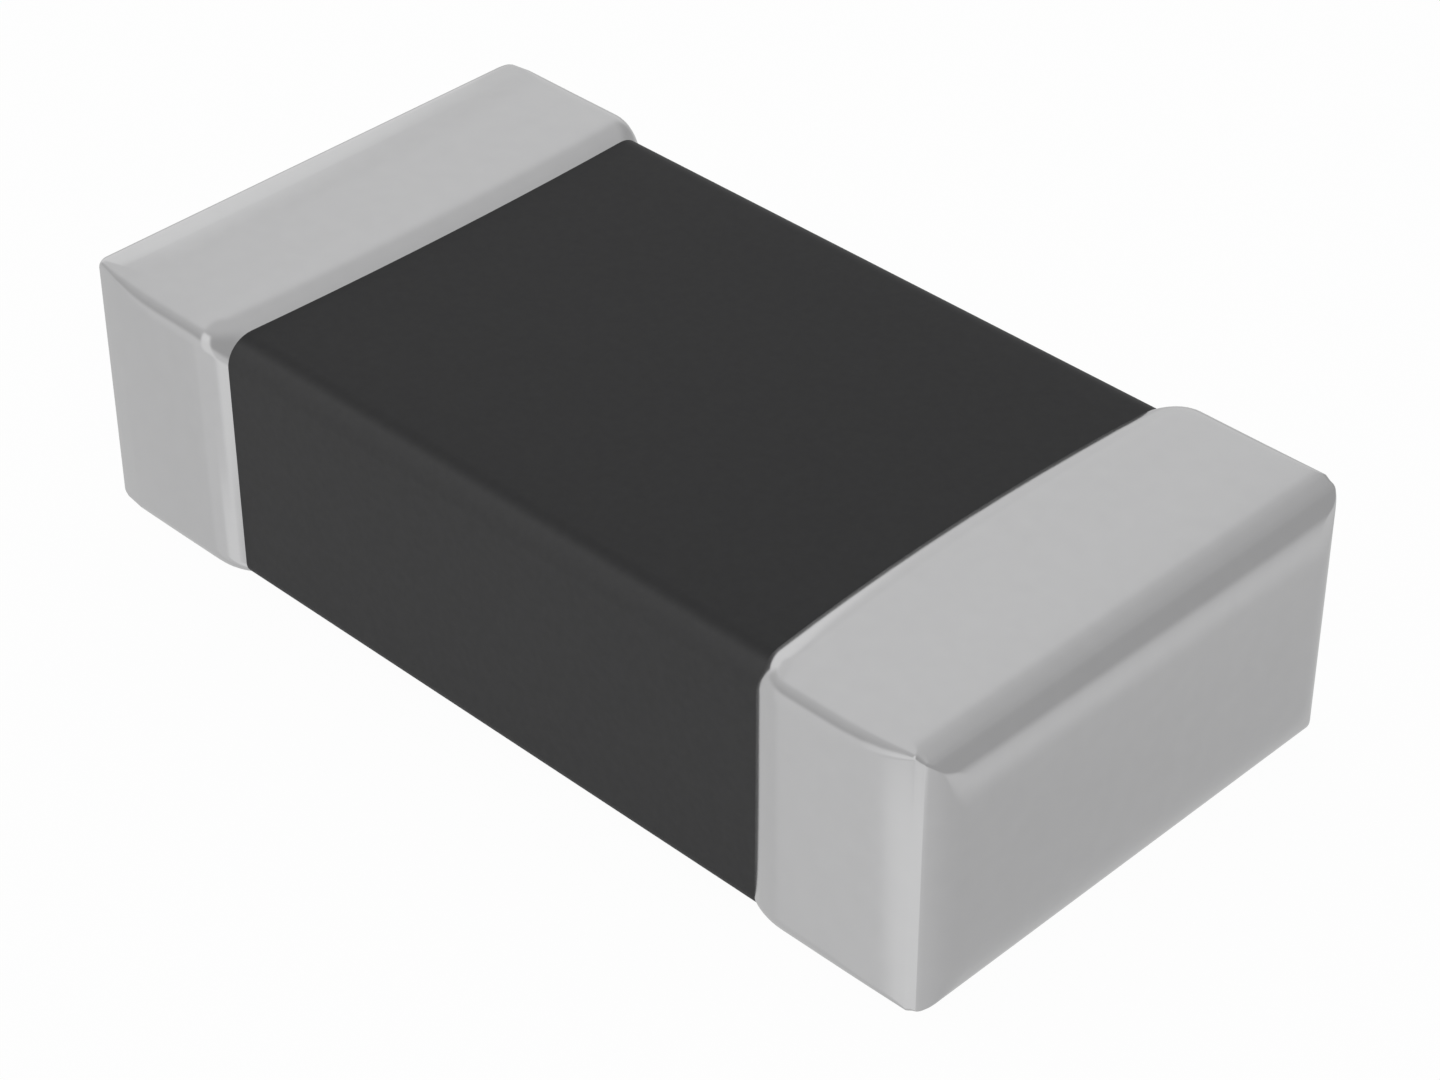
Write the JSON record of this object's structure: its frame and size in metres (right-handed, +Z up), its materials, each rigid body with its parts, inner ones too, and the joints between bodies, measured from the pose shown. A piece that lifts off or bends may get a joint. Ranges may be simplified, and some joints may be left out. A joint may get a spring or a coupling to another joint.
{
  "type": "chip inductor",
  "caption": "Surface-mount multilayer chip inductor: a dark ferrite block closed round a printed silver coil, with a plated metal termination wrapped over each end.",
  "frame": {"origin": "middle of the underside, at the height of the solder faces of the two terminations", "axes": "+X along the chip towards the near termination, +Y across its width, +Z up out of the board"},
  "size_m": [0.0032, 0.0016, 0.0008],
  "materials": {
    "ferrite": "matt, as sintered",
    "silver_print": "fired silver print",
    "silver_base": "fired silver paste, matt",
    "nickel": "electroplated, satin",
    "tin": "electroplated, matt"
  },
  "bodies": {
    "root": {"ferrite_body": "ferrite", "lead_out_far": "silver_print", "coil_print_1": "silver_print", "coil_print_2": "silver_print", "coil_print_3": "silver_print", "coil_print_4": "silver_print", "coil_print_5": "silver_print", "coil_print_6": "silver_print", "coil_print_7": "silver_print", "coil_print_8": "silver_print", "coil_print_9": "silver_print", "coil_print_10": "silver_print", "lead_out_near": "silver_print", "silver_base_near": "silver_base", "nickel_barrier_near": "nickel", "tin_plating_near": "tin", "silver_base_far": "silver_base", "nickel_barrier_far": "nickel", "tin_plating_far": "tin"}
  },
  "joints": []
}
